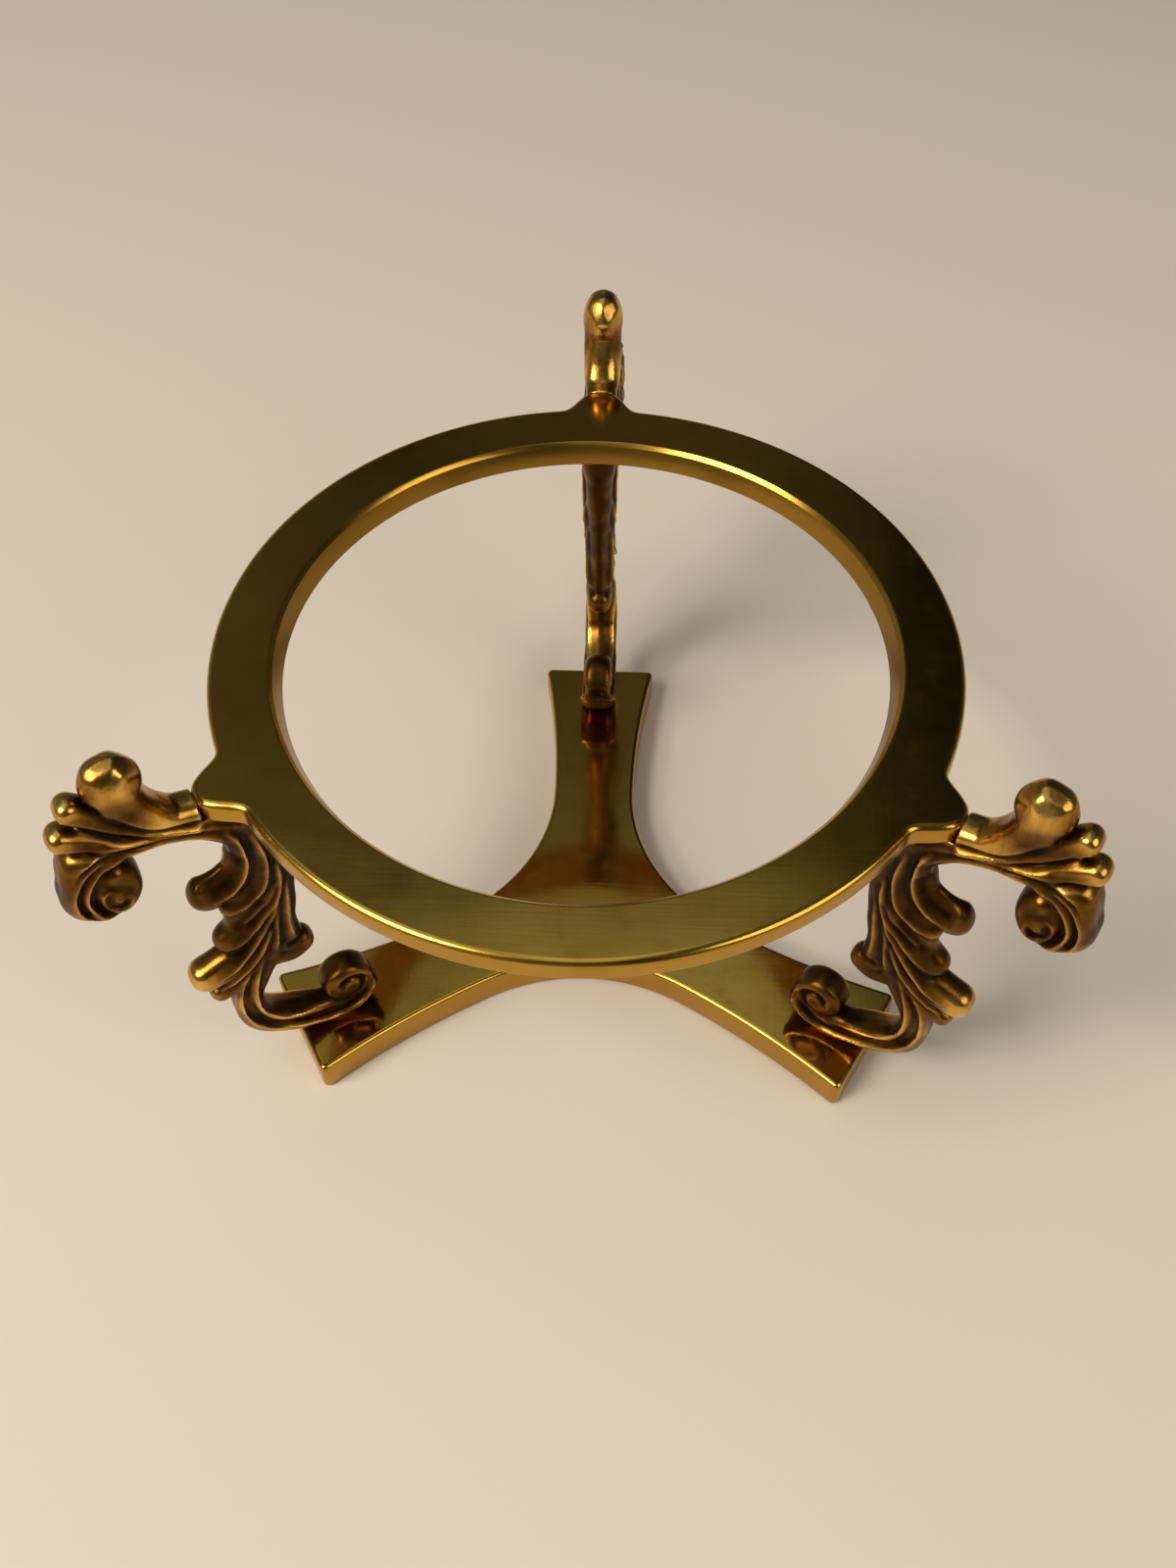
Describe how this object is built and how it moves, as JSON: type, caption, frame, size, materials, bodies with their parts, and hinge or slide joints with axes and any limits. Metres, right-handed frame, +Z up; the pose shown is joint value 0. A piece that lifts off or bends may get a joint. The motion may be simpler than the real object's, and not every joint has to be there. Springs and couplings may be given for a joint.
{
  "type": "trivet stand",
  "caption": "Brass trivet stand: a flat ring held on scrolled acanthus legs above a flat armed base plate, to carry a kettle, pot or dish.",
  "frame": {"origin": "on the ring's axis, on the underside of the base, where the stand meets the table", "axes": "+Z up along the ring's axis, +Y towards the back leg, +X to the right as seen from the front"},
  "size_m": [0.168, 0.1611, 0.0985],
  "materials": {
    "polished_brass": "polished, with fine wipe marks",
    "cast_brass": "cast, rubbed bright on the high places and dark brown in the hollows",
    "fastener_brass": "turned, dull"
  },
  "bodies": {
    "root": {"top_ring": "polished_brass", "tripod_base": "polished_brass", "leg_back": "cast_brass", "leg_left": "cast_brass", "leg_right": "cast_brass", "ring_pin_back": "fastener_brass", "ring_pin_left": "fastener_brass", "ring_pin_right": "fastener_brass", "base_screw_back": "fastener_brass", "base_screw_left": "fastener_brass", "base_screw_right": "fastener_brass"}
  },
  "joints": []
}
